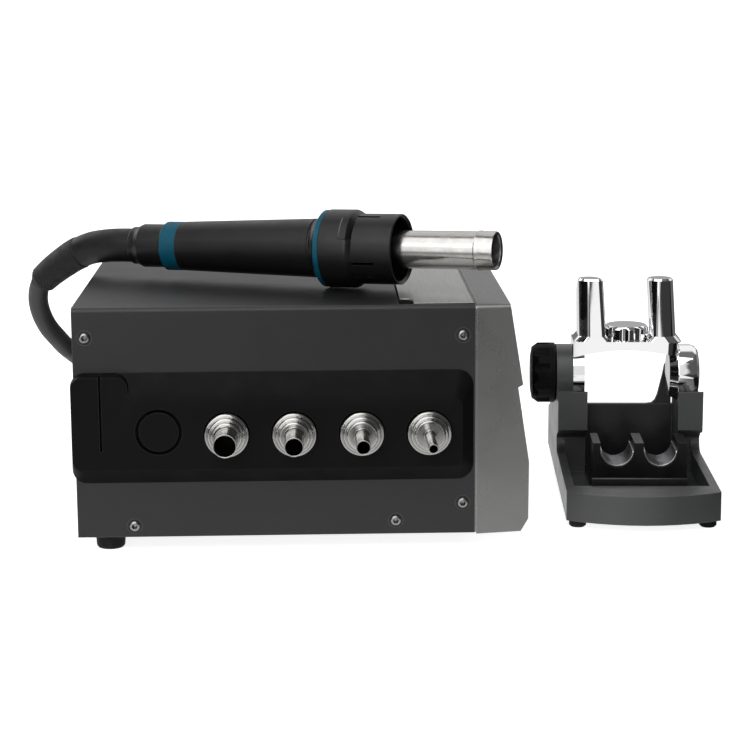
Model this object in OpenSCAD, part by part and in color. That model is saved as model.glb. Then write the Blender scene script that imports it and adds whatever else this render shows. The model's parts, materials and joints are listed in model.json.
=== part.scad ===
// Hot air rework station: sheet metal case with a moulded front, a nozzle
// rack on its side, a hot air handpiece on a hose, and a cast handle stand.
// Millimetres, Z up. The case's long side, with the rack, faces -Y and its
// front faces +X. The origin is under the middle of the case and the stand.

/* [Case] */
// Length of the case over the fullest point of its front
case_l = 250; // [240:1:270]
// Width of the case across its side walls
case_w = 188; // [180:1:210]
// Height of the case without its feet
case_h = 128.5; // [124:0.5:140]
// Thickness of the folded sheet
sheet_t = 1.2; // [0.8:0.1:1.6]
// Radius of the cover's bent top edges
bend_r = 2.5; // [2:0.5:4]
// Length of the moulded front, from its seam to its fullest point
bezel_l = 30; // [28:0.5:36]
// Wall of the moulded front
bezel_t = 3; // [2.4:0.2:4]
// Diameter of a case foot
foot_d = 17; // [14:0.5:20]
// Height of a case foot
foot_h = 9; // [8:0.5:12]

/* [Top plate] */
// Length of the brushed plate let into the top
plate_l = 40.5; // [34:0.5:46]
// Thickness of that plate
plate_t = 0.9; // [0.8:0.1:1.2]
// Shadow gap beside the plate
plate_gap = 1.2; // [0.8:0.1:1.6]
// Wider gap at the plate's two ends
plate_end_gap = 4; // [2:0.2:5]

/* [Nozzle rack] */
// How far the rack stands out from the cover
rack_t = 6.5; // [6:0.5:9]
// Height of the rack's lower edge above the case's floor
rack_z = 31; // [28:0.5:34]
// Height of the rack
rack_h = 61.8; // [60:0.2:66]
// Spacing of the nozzle seats
seat_pitch = 37; // [34:0.5:38]
// Depth of a seat's ring groove
seat_depth = 5; // [4:0.5:5.5]
// Outlet radii of the four nozzles
nozzle_r = [6.5, 5.3, 4.1, 2.8];
// Lengths of the four nozzles in front of the rack
nozzle_l = [27.5, 31.5, 34.5, 39.5];

/* [Handpiece] */
// Outer radius of the heater tube
tube_r = 10.9; // [10:0.1:11.2]
// Length of the heater tube in front of the guard
tube_l = 56; // [50:1:70]
// Radius of the guard's rear ring
guard_r = 22.3; // [21.6:0.1:23]
// Radius of the guard's front part
guard_front_r = 20; // [19.6:0.1:20.4]
// Length of the guard
guard_l = 45.8; // [42:0.2:48]
// Length of the tapered handle body
handle_l = 86.2; // [80:0.2:96]
// Radius of the handle body at its rear end
handle_rear_r = 14.3; // [13.6:0.1:14.8]
// Radius of the handle body at its front end
handle_front_r = 16.9; // [16.4:0.1:17.4]
// Turn of the handpiece on the cover, seen from above
handle_turn = 23; // [20:0.5:26]
// Rise of the handpiece towards its outlet
handle_rise = 1.7; // [1.5:0.05:2.2]

/* [Hose] */
// Diameter of the hose
hose_d = 12; // [11:0.5:12.5]
// Radius of the coil at the middle of its turns
coil_r = 60; // [58:1:64]

/* [Stand] */
// Place of the stand's front left corner along the case's length
stand_x = 151; // [146:1:170]
// Place of the same corner along the case's width
stand_y = -54.5; // [-70:0.5:-30]
// Turn of the stand, seen from above
stand_turn = -3.4; // [-6:0.2:0]
// Width of the stand's base
stand_w = 88.7; // [88:0.1:96]
// Depth of the stand's base
stand_d = 208; // [204:1:220]
// Height of the base's low walls
stand_rim_h = 17; // [16:0.5:20]
// Thickness of the base's walls
stand_wall = 5; // [4:0.5:6]
// Height of a stand foot
stand_foot_h = 4.5; // [4:0.5:6]
// Height of the cradle's tilt axis above the table
pivot_z = 71; // [70:0.5:74]
// Distance of the tilt axis behind the base's front corners
pivot_y = 105; // [103:0.5:107]
// Radius of the cradle's round ends
boss_r = 17.3; // [16.8:0.1:17.6]
// Height of the fork's prongs above the tilt axis
prong_h = 59.8; // [54:0.2:62]
// Radius of the clamp knob
knob_r = 18.5; // [17:0.5:20]
// Radius of the clamp knob's stud
stud_r = 4; // [3.5:0.1:4.5]

/* [Clearances] */
// Gap between a moving piece and the opening that it runs in
run_gap = 0.3; // [0.25:0.05:0.4]
// Gap round a shaft that turns in a bore
shaft_gap = 0.05; // [0.03:0.01:0.08]

/* [Hidden] */
$fn = 64;

// Case planes: x runs from the rear to the front, z from the table up
rear_x = -case_l/2;
front_x = case_l/2;
seam_x = front_x - bezel_l;
side_y = case_w/2;
floor_z = foot_h;
top_z = foot_h + case_h;
in_y = side_y - sheet_t;
floor_top = floor_z + sheet_t;
fit = 0.2;
panel_in = 0.5;

// The moulded front's side outline, from its top edge down to its foot
brow_x = front_x - 10.8;
lip_x = front_x - 3.6;
lip_z = floor_z + 83.5;
lip_step = 2.7;
full_z = floor_z + 39.9;
chin_z = floor_z + 7.6;
chin_x = front_x - 4.4;
upper_tilt = atan((lip_x - brow_x)/(top_z - lip_z));
lower_tilt = atan((front_x - lip_x + lip_step)/(lip_z - 1.5 - full_z));
upper_mid = [(brow_x + lip_x)/2, (top_z + lip_z)/2];
lower_mid = [(front_x + lip_x - lip_step)/2, (lip_z - 1.5 + full_z)/2];
chin_mid_z = (full_z + chin_z)/2;

// Panels let into the front: width, height, thickness and lap behind the face
window_size = [114, 33, 1.6];
panel_size = [150, 30, 1.6];
panel_lap = 2.5;
button_r = 5;
button_travel = 1;
button_y = [-60, -44, -20, -4, 20, 36, 52];
board_depth = 12;
board_t = 1.6;
board_hole_r = 1.6;
rocker_y = 58;
rocker_w = 12;
rocker_r = 9.6;
rocker_swing = 14;
rocker_in = 5;
frame_size = [20, 28, 1.5];

// Mains inlet and fuse on the rear panel
inlet_y = -48;
inlet_z = floor_z + 38;
fuse_y = -14;

// Floor boards: rear right corner, length and width
board_side = 8;
power_at = [-115, -side_y + board_side, 84, 52];
main_at = [8, -70, 74, 126];
board_z = floor_top + 6 + board_t;

// Screws in the cover's walls: x from the rear, z from the case's floor
screw_r = 3;
shank_r = 2;
screw_hole_r = 2.1;
dimple_r = 4.1;
dimple = 0.5;
screw_at = [[6.8, 112], [213.2, 111.6], [213.2, 17.2], [176, 7.6], [31.4, 6.2]];

// Case feet: rear pair wide apart, front pair drawn in
foot_at = [[rear_x + 16.7, -side_y + 14.5], [rear_x + 16.7, side_y - 14.5],
    [seam_x - 20, -50], [seam_x - 20, 50]];

// Top plate and the black carrier under it
plate_x = seam_x - plate_l - plate_gap;
opening_y = side_y - bend_r;
carrier_t = 1.6;
seam_gap = 0.8;

// Nozzle rack: edges in x, bevels and seats
rack_x0 = rear_x - 1.8;
rack_x1 = seam_x - 1;
rack_block_l = 31;
rack_y = -side_y - rack_t;
rack_z0 = floor_z + rack_z;
bevel_low = 8.5;
bevel_top = 13.5;
bevel_end = 6.5;
seat_x0 = rear_x + 46.4;
seat_z = floor_z + 58.7;
boss_seat_r = 10.9;
seat_rise = [2.1, 0, 0, 0, 0];
seat_r = 12.8;
flange_r = 12.2;
skirt_r = flange_r - 0.1;
nozzle_wall = 0.6;

// Handpiece axis: from the guard's rear plane forward
hand_x = rear_x + 140.3;
hand_y = -26.8;
hand_z = top_z + run_gap + guard_r;
flare_l = 5.2;
band_l = 9.8;
cap_l = 23.4;
ring_s = 2.3;
cap_r = 12.7;
neck_r = 11;
rear_s = -flare_l - handle_l - band_l - cap_l + 0.4;
seat_s = 7;
tube_s = 18;
tube_wall = 0.7;
nozzle_seat_l = 8.3;
core_r = 9.2;
core_in = 34;
spigot_r = core_r + 6;
spigot_gap = 0.2;
boot_straight = 9.4;

// A point on the handpiece's axis, s in front of the guard's rear plane
function on_axis(s) = [hand_x, hand_y, hand_z] + s*[cos(handle_turn)*cos(handle_rise),
    -sin(handle_turn)*cos(handle_rise), sin(handle_rise)];

// Hose: glands, route and coil
gland_x = -15;
gland_z = floor_z + 21;
gland_l = 16;
gland_r = 12;
hose_r = hose_d/2;
boot_r = 10.4;
boot_end_r = 8.5;
coil_x = -75;
coil_y = 181;
coil_turns = 2.5;
coil_h = ceil(coil_turns + 0.5)*hose_d + hose_d/2;
boot_route = [[-116.6, 29.6, 155.3], [-126.5, 34.6, 153.2], [-136, 39.2, 148.9],
    [-144.5, 43.3, 143.2], [-152, 47, 137.4], [-159, 51, 131]];
rise_route = [[-135, 181, 36], [-135, 170, 37], [-135, 157, 41], [-135.5, 144, 48],
    [-136, 131, 56], [-137, 118, 63.5], [-139, 105.5, 70], [-141.5, 95, 75],
    [-145, 86.5, 80], [-149.5, 79, 86], [-153.5, 73, 92.5], [-157.5, 67, 99.5],
    [-160.5, 62, 107.5], [-162, 57.5, 116.5], [-161.3, 54, 124.5], [-159, 51, 131]];
joint_way = [-4, 3.5, -7];
lead_route = [[-15, 110, 30], [-15, 113, 30], [-15, 121, 29.6], [-15, 132, 28], [-15, 143, 24],
    [-15, 153, 18.5], [-15, 162, 12.5], [-15, 171, 7.8], [-15, 181, 6]];

// Blower: fan housing, rotor and motor on one upright axis
fan_x = gland_x - 28;
fan_y = 18;
fan_r = 38;
fan_h = 40;
fan_wall = 2;
fan_blades = 24;
outlet_r = 13;
motor_r = 17;
axle_r = 3;

// Stand: levels and the cradle's places across the base
tray_z = stand_foot_h + 3;
rim_z = stand_foot_h + stand_rim_h;
bow = 12;
rim_front = 14;
cheek_x = [4.4, stand_w - 1.6 - 13.5];
cheek_w = 13.5;
block_front = pivot_y - 15;
block_low = pivot_z - 35.3;
block_top = pivot_z - 11.3;
wall_back = pivot_y + 23;
deck_z = pivot_z - 24;
deck_end_z = stand_foot_h + 25;
ear_w = 9.6;
mid_w = stand_w/2;
saddle_r = boss_r + run_gap;
yoke_x0 = ear_w - 1 + run_gap;
yoke_x1 = stand_w - 2.2;
bridge_x1 = stand_w - 15.2;
bridge_z = pivot_z + 12;
bridge_rise = 4.2;
bridge_top = pivot_z + 21.4;
fork_x = mid_w - 2.4;
fork_d = 28;
cap_d = 27.2;
cap_h = 8.8;
rest_x = [19.3, 75.9];
rest_lip = [15.8, 71.4];
rest_y0 = rim_front + 4;
rest_y1 = 60;
rest_y2 = 88;
rest_top = 36.3;
trough_r = 10.2;
trough_x = [34, 60];
trough_z = 31.6;
stand_foot_at = [[6.8, 5], [stand_w - 6.8, 5], [9, stand_d - 14], [stand_w - 9, stand_d - 14]];
bow_r = (mid_w*mid_w + bow*bow)/(2*bow);
bow_half = asin(mid_w/bow_r);

// Where the part's own origin lies, in the case's frame
turn_s = sin(-stand_turn);
turn_c = cos(stand_turn);
far_x = stand_x + stand_w*turn_c + stand_d*turn_s;
far_y = stand_y + stand_d*turn_c;
near_y = rack_y - max(nozzle_l);
origin_x = (rack_x0 + far_x)/2;
origin_y = (near_y + far_y)/2;

// Points along an arc about c, from angle a0 to a1 in n steps
function arc(c, r, a0, a1, n = 8) =
    [for (i = [0:n]) let(a = a0 + (a1 - a0)*i/n) c + r*[cos(a), sin(a)]];

// Side views of the stand: the block's underside, the outer wall, the block and the deck
under_block = [[block_front, block_low + 2], [block_front + 2, block_low], [pivot_y - 5, block_low - 2],
    [pivot_y - 1, block_low - 5], [pivot_y, block_low - 6]];
block_back = [[wall_back, deck_z + 8], [pivot_y + boss_r + 4.6, pivot_z - 6],
    [pivot_y + boss_r + 2.2, pivot_z + 3], [pivot_y, pivot_z + 3], [block_front, block_top + 8]];
cheek_side = concat([[rim_front, stand_foot_h], [stand_d - 8, stand_foot_h],
    [stand_d - 8, deck_end_z], [wall_back + 14, deck_z + 2], [wall_back + 4, deck_z + 5]], block_back,
    under_block, arc([pivot_y - 8, rim_z + 8], 8, 0, -90, 5), [[rim_front, rim_z]]);
block_side = concat([[pivot_y, stand_foot_h], [wall_back, stand_foot_h]], block_back, under_block);
deck_side = [[wall_back - 4, stand_foot_h], [stand_d, stand_foot_h], [stand_d, deck_end_z - 4],
    [stand_d - 6, deck_end_z], [wall_back, deck_z], [wall_back - 4, deck_z]];

// Front view of the horn that joins the rear wall to the outer cheek
horn_front = [[stand_w - 32, deck_z - 1], [stand_w - 16, deck_z - 1], [stand_w - 16, pivot_z + 3],
    [stand_w - 19.8, pivot_z + 2], [stand_w - 20.6, pivot_z + 0.6], [stand_w - 21.6, pivot_z - 5],
    [stand_w - 23, pivot_z - 11], [stand_w - 24.6, pivot_z - 18], [stand_w - 26, deck_z + 2.4],
    [stand_w - 28, deck_z + 0.6], [stand_w - 32, deck_z]];

// Outline of a rectangle w by h about the origin with rounded corners
function round_box(w, h, r, n = 4) = concat(
    arc([w/2 - r, h/2 - r], r, 0, 90, n), arc([r - w/2, h/2 - r], r, 90, 180, n),
    arc([r - w/2, r - h/2], r, 180, 270, n), arc([w/2 - r, r - h/2], r, 270, 360, n));

// Unit tangents of a route, and a normal carried along it without twist
function unit(v) = v/norm(v);
function tangents(p, last) = [for (i = [0:len(p) - 1])
    i == len(p) - 1 && last ? unit(last) : unit(p[min(i + 1, len(p) - 1)] - p[max(i - 1, 0)])];
function carry(t, n, k = 0) = k == len(t) ? []
    : let(m = unit(n - (n*t[k])*t[k])) concat([m], carry(t, m, k + 1));

// A tube swept along a route, with a radius for each of its points
module sweep(route, radii, sides, first, last = undef) {
    t = tangents(route, last);
    n = carry(t, first);
    count = len(route);
    rings = [for (i = [0:count - 1], j = [0:sides - 1]) let(a = 360*j/sides)
        route[i] + radii[i]*(cos(a)*n[i] + sin(a)*cross(t[i], n[i]))];
    walls = [for (i = [0:count - 2], j = [0:sides - 1])
        let(k = (j + 1)%sides, a = i*sides + j, b = i*sides + k)
        each [[a, a + sides, b + sides], [a, b + sides, b]]];
    start = [for (j = [0:sides - 1]) j];
    end = [for (j = [sides - 1:-1:0]) (count - 1)*sides + j];
    polyhedron(rings, concat([start], walls, [end]), 6);
}

// Places flat work on a face of the moulded front: x right, y up, z outward
module on_face(x, z, tilt) {
    translate([x, 0, z]) rotate([0, 90 - tilt, 0]) rotate(90) children();
}

module on_upper() { on_face(upper_mid[0], upper_mid[1], upper_tilt) children(); }

module on_lower() { on_face(lower_mid[0], lower_mid[1], lower_tilt) children(); }

module on_chin() { on_face(front_x - 0.1, chin_mid_z, 0) children(); }

// A flat plate with rounded corners, its front at z = top
module slab(size, r, top = 0) {
    translate([0, 0, top - size[2]]) linear_extrude(size[2])
        polygon(round_box(size[0], size[1], r));
}

// Places work on the case's wall screws, on both walls, z outward
module at_screws() {
    for (side = [-1, 1], p = screw_at)
        translate([rear_x + p[0], side*side_y, floor_z + p[1]])
            rotate([side < 0 ? 90 : -90, 0, 0]) children();
}

// Places work on the handpiece's axis, z towards its outlet
module on_handle(s = 0) {
    translate([hand_x, hand_y, hand_z])
        rotate([0, 90 - handle_rise, -handle_turn]) translate([0, 0, s]) children();
}

// Places work in the stand's frame: x across, y back from the front corners
module on_stand() { translate([stand_x, stand_y, 0]) rotate(stand_turn) children(); }

// Places a round piece on the cradle's tilt axis, from x0 towards +x
module on_pivot(x0) { translate([x0, pivot_y, pivot_z]) rotate([0, 90, 0]) children(); }

module part() { translate([-origin_x, -origin_y, 0]) children(); }

module chassis_base() color([0.2, 0.2, 0.2]) part() {
    flange_h = 14;
    x0 = rear_x + panel_in + sheet_t;
    l = seam_x - x0;
    difference() {
        union() {
            translate([x0, -in_y, floor_z]) cube([l, 2*in_y, sheet_t]);
            for (side = [-1, 1])
                translate([x0, side*(in_y - sheet_t/2) - sheet_t/2, floor_z])
                    cube([l, sheet_t, flange_h]);
            for (p = foot_at) translate([p[0], p[1], floor_z]) cylinder(r = 5, h = 4);
            board_posts() cylinder(r = 3, h = 6);
        }
        for (p = foot_at) translate([p[0], p[1], floor_z - 1]) cylinder(r = 2, h = 8);
        board_posts() translate([0, 0, 2]) cylinder(r = 1.2, h = 6);
        for (i = [0:8]) translate([seam_x - 78 + 6*i, -15, floor_z - 1]) cube([2.6, 30, 4]);
        at_screws() translate([0, 0, -6]) cylinder(r = screw_hole_r, h = 8);
        translate([gland_x, in_y - 3, gland_z]) rotate([-90, 0, 0]) cylinder(r = outlet_r + fit, h = 4);
    }
}

module board_posts() {
    for (b = [power_at, main_at], i = [0, 1], j = [0, 1])
        translate([b[0] + 5 + i*(b[2] - 10), b[1] + 5 + j*(b[3] - 10), floor_top]) children();
}

// The cover's section across the case: an arch of sheet
function cover_outline(y, z, r) = concat([[y, floor_z]], arc([y - r, z - r], r, 0, 90, 6),
    arc([r - y, z - r], r, 90, 180, 6), [[-y, floor_z]]);

module top_cover() color([0.2, 0.2, 0.2]) part() {
    difference() {
        translate([rear_x, 0, 0]) rotate([90, 0, 90]) linear_extrude(seam_x - rear_x)
            polygon(concat(cover_outline(side_y, top_z, bend_r),
                [for (i = [len(cover_outline(1, 1, 0.1)) - 1:-1:0])
                    cover_outline(in_y, top_z - sheet_t, bend_r - sheet_t)[i]]));
        translate([plate_x, -opening_y, top_z - 5]) cube([plate_l + 5, 2*opening_y, 10]);
        at_screws() {
            translate([0, 0, -5]) cylinder(r = screw_hole_r, h = 10);
            translate([0, 0, -dimple]) cylinder(r = dimple_r, h = 2);
        }
        translate([gland_x, side_y - 5, gland_z]) rotate([-90, 0, 0]) cylinder(r = 9.6, h = 10);
        for (i = [0:9], j = [0, 1])
            translate([rear_x + 22 + 8*i, in_y - 1, floor_z + 62 + 26*j]) cube([3, 4, 20]);
    }
}

module rear_panel() color([0.2, 0.2, 0.2]) part() {
    w = in_y - fit;
    difference() {
        translate([rear_x + panel_in, -w, floor_z]) cube([sheet_t, 2*w, case_h - sheet_t - fit]);
        translate([rear_x - 1, inlet_y - 13.7, inlet_z - 10]) cube([5, 27.4, 20]);
        translate([rear_x - 1, fuse_y, inlet_z]) rotate([0, 90, 0]) cylinder(r = 6.2, h = 5);
        for (i = [0:8]) translate([rear_x - 1, 12 + 8*i, floor_z + 50]) cube([5, 3.2, 56]);
    }
}

module front_bezel() color([0.3, 0.3, 0.31]) part() {
    t = bezel_t;
    under = 0.8;
    outer = [[seam_x, floor_z - under], [seam_x, top_z], [brow_x, top_z], [lip_x, lip_z],
        [lip_x - lip_step, lip_z - 1.5], [front_x, full_z], [front_x - 0.2, chin_z],
        [chin_x, floor_z + 0.4]];
    inner = [[seam_x - 1, floor_z + t], [seam_x - 1, top_z - t], [brow_x - t, top_z - t],
        [lip_x - lip_step - t, lip_z - 1.5], [front_x - t, full_z], [front_x - t, floor_z + t]];
    difference() {
        intersection() {
            rotate([90, 0, 0]) translate([0, 0, -side_y]) linear_extrude(case_w) polygon(outer);
            translate([seam_x, 0, 0]) rotate([90, 0, 90]) linear_extrude(bezel_l)
                polygon(concat([[side_y, floor_z - under]], cover_outline(side_y, top_z, bend_r),
                    [[-side_y, floor_z - under]]));
        }
        rotate([90, 0, 0]) translate([0, 0, t - side_y]) linear_extrude(case_w - 2*t)
            polygon(inner);
        translate([seam_x, 0, 0]) rotate([90, 0, 90]) linear_extrude(seam_gap) difference() {
            square([2*case_w, 4*case_h], center = true);
            polygon(cover_outline(side_y - seam_gap, top_z - seam_gap, bend_r - seam_gap));
        }
        on_upper() {
            slab([window_size[0] + 2*fit, window_size[1] + 2*fit, window_size[2] + 1], 3, 1);
            slab([window_size[0] - 6, window_size[1] - 6, 12], 2, 1);
        }
        on_lower() {
            slab([panel_size[0] + 2*fit, panel_size[1] + 2*fit, panel_size[2] + 1], 3, 1);
            slab([panel_size[0] - 2*panel_lap, panel_size[1] - 2*panel_lap, 12], 2, 1);
        }
        on_chin() translate([rocker_y, 0, 0]) slab([frame_size[0] - 3, frame_size[1] - 3, 12], 1, 1);
    }
    on_lower() for (x = [-68, 68], y = [-10, 10])
        translate([x*1.03, y*1.36, -board_depth]) cylinder(r = 1.8, h = board_depth - t + 0.2);
}

module front_panel() color([0.06, 0.06, 0.06]) part() on_lower() difference() {
    slab(panel_size, 3);
    for (y = button_y) translate([y, 0, -5]) cylinder(r = button_r + run_gap, h = 10);
}

module display_window() color([0.1, 0.1, 0.12, 0.8]) part() on_upper() slab(window_size, 3);

// The display stands behind the window on a tray that meets the front's wall
module display_module() color([0.1, 0.12, 0.1]) part() on_upper() {
    slab([window_size[0] - 8, window_size[1] - 8, 5], 1.5, -window_size[2] - 0.2);
    slab([window_size[0] + 4, window_size[1], board_t], 1, -window_size[2] - 5.2);
}

module control_board() color([0.1, 0.35, 0.2]) part() on_lower() {
    slab([panel_size[0] + 2, panel_size[1] + 4, board_t], 1, -board_depth);
    for (y = button_y) translate([y, 0, -board_depth]) {
        translate([-3, -3, 0]) cube([6, 6, 3.5]);
        cylinder(r = 1.75, h = 5);
    }
}

// A push button: cap, the flange that keeps it in and its stem
module button(y) part() on_lower() translate([y, 0, 0]) {
    stem = board_depth - 5 - button_travel - 0.2;
    rotate_extrude() polygon([[0, -stem], [2, -stem], [2, -3.4],
        [button_r + 1.2, -3.4], [button_r + 1.2, -panel_size[2] - 0.1], [button_r, -panel_size[2] - 0.1],
        [button_r, 1.4], [button_r - 0.7, 2.1], [0, 2.3]]);
}

module switch_frame() color([0.05, 0.05, 0.05]) part() on_chin() translate([rocker_y, 0, 0])
    difference() {
        union() {
            slab([frame_size[0], frame_size[1], frame_size[2]], 1.5, frame_size[2]);
            slab([frame_size[0] - 3.2, frame_size[1] - 3.2, 20], 1, 0.1);
        }
        slab([rocker_w + 2*run_gap, 2*(rocker_r + run_gap), 16], 0.5, 2);
    }

module power_rocker() color([0.08, 0.08, 0.08]) part()
    translate([front_x - 0.1 - rocker_in, rocker_y, chin_mid_z]) rotate([90, 0, 0])
        linear_extrude(rocker_w, center = true) rotate(rocker_swing/2) difference() {
            circle(r = rocker_r, $fn = 96);
            for (side = [-1, 1]) rotate(side*rocker_swing/2)
                translate([rocker_in + 2.2, side < 0 ? -20 : 0]) square([20, 20]);
            translate([-22, -20]) square([20, 40]);
        }

// Outline of the rack's base or face in x and z, with rounded corners
module rack_plate(x0, x1, z0, z1, r, y) {
    translate([(x0 + x1)/2, y, (z0 + z1)/2]) rotate([90, 0, 0])
        linear_extrude(0.4) polygon(round_box(x1 - x0, z1 - z0, r, 6));
}

module nozzle_rack() color([0.08, 0.08, 0.08]) part() difference() {
    union() {
        hull() {
            rack_plate(rack_x0, rack_x1, rack_z0, rack_z0 + rack_h, 9, -side_y);
            rack_plate(rack_x0 + 0.8, rack_x1 - bevel_end, rack_z0 + bevel_low,
                rack_z0 + rack_h - bevel_top, 5, rack_y + 0.4);
        }
        hull() {
            rack_plate(rack_x0, rack_x0 + rack_block_l + 1.8, rack_z0, rack_z0 + rack_h, 8, -side_y);
            rack_plate(rack_x0 + 0.8, rack_x0 + rack_block_l + 0.8, rack_z0 + bevel_low,
                rack_z0 + rack_h - 1.6, 6, rack_y + 0.4);
        }
    }
    for (i = [0:4]) translate([seat_x0 + seat_pitch*i, rack_y - 1, seat_z + seat_rise[i]])
        rotate([-90, 0, 0]) difference() {
            cylinder(r = seat_r, h = seat_depth + 1);
            translate([0, 0, -1]) cylinder(r = boss_seat_r, h = seat_depth + 3);
        }
    translate([rack_x0 + 16.1, rack_y - 1, rack_z0 + 19]) cube([1.2, rack_t, 50]);
}

// A nozzle: a skirt that clips on, two stepped collars and a straight outlet
module nozzle(i) part() {
    r = nozzle_r[i];
    skirt = seat_depth - 0.4;
    translate([seat_x0 + seat_pitch*(i + 1), rack_y, seat_z]) rotate([90, 0, 0])
        rotate_extrude() polygon([[skirt_r - 0.8, -skirt], [skirt_r, -skirt], [skirt_r, run_gap],
            [flange_r, run_gap], [flange_r, 2.4], [flange_r - 0.5, 3], [10.3, 3.2], [10.2, 5.2],
            [9.7, 5.7], [8.4, 5.9], [8.3, 7.8], [7.8, 8.3], [r + 0.5, 8.4], [r, 9],
            [r, nozzle_l[i]], [r - nozzle_wall, nozzle_l[i]], [r - nozzle_wall, 7.4], [7.4, 7.3],
            [7.4, 5], [9.3, 4.9], [9.3, 2.2], [skirt_r - 0.8, 2.1]]);
}

module cover_screws() color([0.7, 0.7, 0.7]) part() at_screws() difference() {
    union() {
        translate([0, 0, -6]) cylinder(r = shank_r, h = 6);
        rotate_extrude() polygon([[0, -dimple], [screw_r, -dimple], [screw_r, 0.3],
            [screw_r - 0.3, 0.8], [screw_r - 1, 1.2], [0, 1.3]]);
    }
    translate([0, 0, -1.8]) cylinder(r = 1.7, h = 4, $fn = 6);
}

module case_feet() color([0.04, 0.04, 0.04]) part()
    for (p = foot_at) translate([p[0], p[1], 0]) difference() {
        rotate_extrude() polygon([[0, 0], [foot_d/2 - 1.5, 0], [foot_d/2 - 0.6, 1.2],
            [foot_d/2, foot_h], [0, foot_h]]);
        translate([0, 0, -1]) cylinder(r = 4, h = 4);
        cylinder(r = 2.1, h = foot_h + 1);
    }

module foot_screws() color([0.7, 0.7, 0.7]) part()
    for (p = foot_at) translate([p[0], p[1], 1.2]) {
        cylinder(r = 3.4, h = 1.8);
        cylinder(r = 1.9, h = foot_h + 2.4);
    }

module plate_carrier() color([0.05, 0.05, 0.05]) part() {
    under = top_z - sheet_t;
    translate([plate_x - 4, -opening_y + 0.4, under - carrier_t])
        cube([seam_x - plate_x + 4, 2*opening_y - 0.8, carrier_t]);
    translate([plate_x + fit, -opening_y + 0.4, under])
        cube([seam_x - plate_x - fit, 2*opening_y - 0.8, sheet_t - plate_t]);
    for (side = [0, 1]) mirror([0, side, 0])
        translate([plate_x + fit, opening_y - plate_end_gap + fit, under])
            cube([seam_x - plate_x - fit, plate_end_gap - fit - 0.4, sheet_t - 0.1]);
}

// The brushed plate: a corner is notched out, with a rounded inner corner
module top_plate() color([0.6, 0.6, 0.6]) part() {
    y = opening_y - plate_end_gap;
    l = plate_l - 0.5;
    notch = [7, 16.4, 4.5];
    translate([plate_x + plate_gap, 0, top_z - plate_t]) linear_extrude(plate_t)
        polygon(concat([[notch[0], -y], [l, -y], [l, y], [0, y], [0, notch[1] - y]],
            arc([notch[0] - notch[2], notch[1] - y - notch[2]], notch[2], 90, 0, 6)));
}

module mains_inlet() color([0.05, 0.05, 0.05]) part() translate([rear_x + panel_in, inlet_y, inlet_z])
    difference() {
        union() {
            rotate([0, -90, 0]) linear_extrude(2) polygon(round_box(24, 31, 2));
            translate([-0.1, -13.4, -9.7]) cube([22, 26.8, 19.4]);
        }
        difference() {
            translate([-3, -12, -8]) cube([17, 24, 16]);
            for (y = [-7, 0, 7])
                translate([1, y - 1, y == 0 ? 1 : -2]) cube([14, 2, 4]);
        }
    }

module fuse_holder() color([0.07, 0.07, 0.07]) part() translate([rear_x + panel_in, fuse_y, inlet_z])
    rotate([0, 90, 0]) {
        cylinder(r = 6, h = 26);
        translate([0, 0, -2]) cylinder(r = 8, h = 2);
        difference() {
            translate([0, 0, -6]) cylinder(r = 6, h = 4.2);
            translate([-8, -0.7, -7]) cube([16, 1.4, 2.4]);
        }
    }

// A bare board with its four screw holes
module board(at) {
    translate([at[0], at[1], board_z - board_t]) difference() {
        cube([at[2], at[3], board_t]);
        for (i = [0, 1], j = [0, 1])
            translate([5 + i*(at[2] - 10), 5 + j*(at[3] - 10), -1]) cylinder(r = board_hole_r, h = 4);
    }
}

module power_board() color([0.12, 0.3, 0.16]) part() {
    board(power_at);
    translate([power_at[0] + 14, power_at[1] + 12, board_z]) {
        translate([30, 0, 0]) cube([26, 24, 20]);
        translate([64, 18, 0]) cylinder(r = 6, h = 16);
        translate([0, 2, 0]) cube([18, 8, 9]);
    }
}

module heat_sink() color([0.7, 0.7, 0.72]) part()
    translate([power_at[0] + 14, power_at[1] + 42, board_z]) {
        cube([56, 2.4, 26]);
        for (i = [0:7]) translate([1 + 7.4*i, -5, 0]) cube([1.4, 5.2, 26]);
    }

module main_board() color([0.1, 0.32, 0.18]) part() {
    board(main_at);
    translate([main_at[0], main_at[1], board_z]) {
        translate([16, 60, 0]) cube([12, 12, 1.6]);
        for (i = [0:3]) translate([52, 26 + 18*i, 0]) cylinder(r = 4, h = 11);
        for (i = [0:2]) translate([20, 16 + 36*i - (i == 1 ? 10 : 0), 0]) cube([14, 6, 7]);
    }
}

// The fan housing: a drum that opens into a round outlet towards the gland
module blower_housing() color([0.1, 0.1, 0.1]) part() difference() {
    union() {
        translate([fan_x, fan_y, floor_top]) cylinder(r = fan_r, h = fan_h);
        translate([gland_x, fan_y, gland_z]) rotate([-90, 0, 0]) cylinder(r = outlet_r, h = 44);
    }
    translate([fan_x, fan_y, floor_top + fan_wall]) cylinder(r = fan_r - fan_wall, h = fan_h - 2*fan_wall);
    translate([fan_x, fan_y, floor_top + fan_wall]) cylinder(r = 18, h = fan_h);
    translate([gland_x, fan_y, gland_z]) rotate([-90, 0, 0])
        cylinder(r = outlet_r - fan_wall, h = 50);
}

module blower_impeller() color([0.15, 0.15, 0.16]) part()
    translate([fan_x, fan_y, floor_top + fan_wall]) difference() {
        union() {
            translate([0, 0, 23]) cylinder(r = fan_r - 10, h = 2);
            translate([0, 0, 16]) cylinder(r = 7, h = 8);
            for (i = [0:fan_blades - 1]) rotate(360*i/fan_blades)
                translate([fan_r - 18, -0.6, 24.5]) cube([8, 1.2, 9]);
        }
        translate([0, 0, 10]) cylinder(r = axle_r + shaft_gap, h = 20);
    }

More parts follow.
